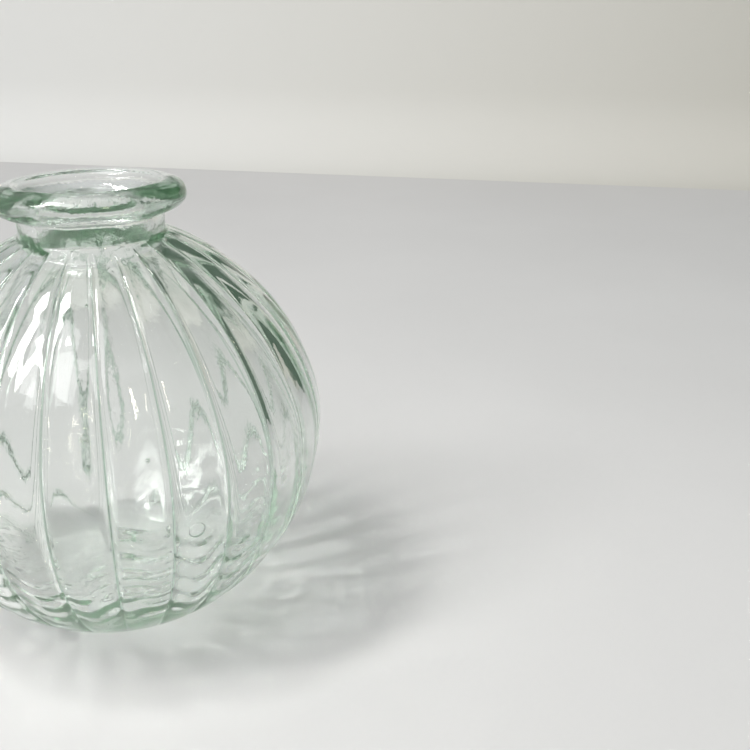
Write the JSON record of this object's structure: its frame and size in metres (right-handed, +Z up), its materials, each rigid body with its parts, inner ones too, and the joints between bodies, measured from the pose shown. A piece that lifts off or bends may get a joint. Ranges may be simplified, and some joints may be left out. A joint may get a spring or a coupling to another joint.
{
  "type": "bud vase",
  "caption": "Round glass bud vase: a hollow ball of convex lobes on a thick base, with a short bored neck and a rolled lip.",
  "frame": {"origin": "centre of the foot, on the surface that the vase stands on", "axes": "+Z up along the axis of the vase; it is alike all round, and -Y is taken as the front"},
  "size_m": [0.0958, 0.0958, 0.1],
  "materials": {
    "glass": "clear pale green recycled glass, fire-polished, with a few seeds and faint waves"
  },
  "bodies": {
    "root": {"base_disc": "glass", "fluted_body": "glass", "neck_tube": "glass", "lip_ring": "glass"}
  },
  "joints": []
}
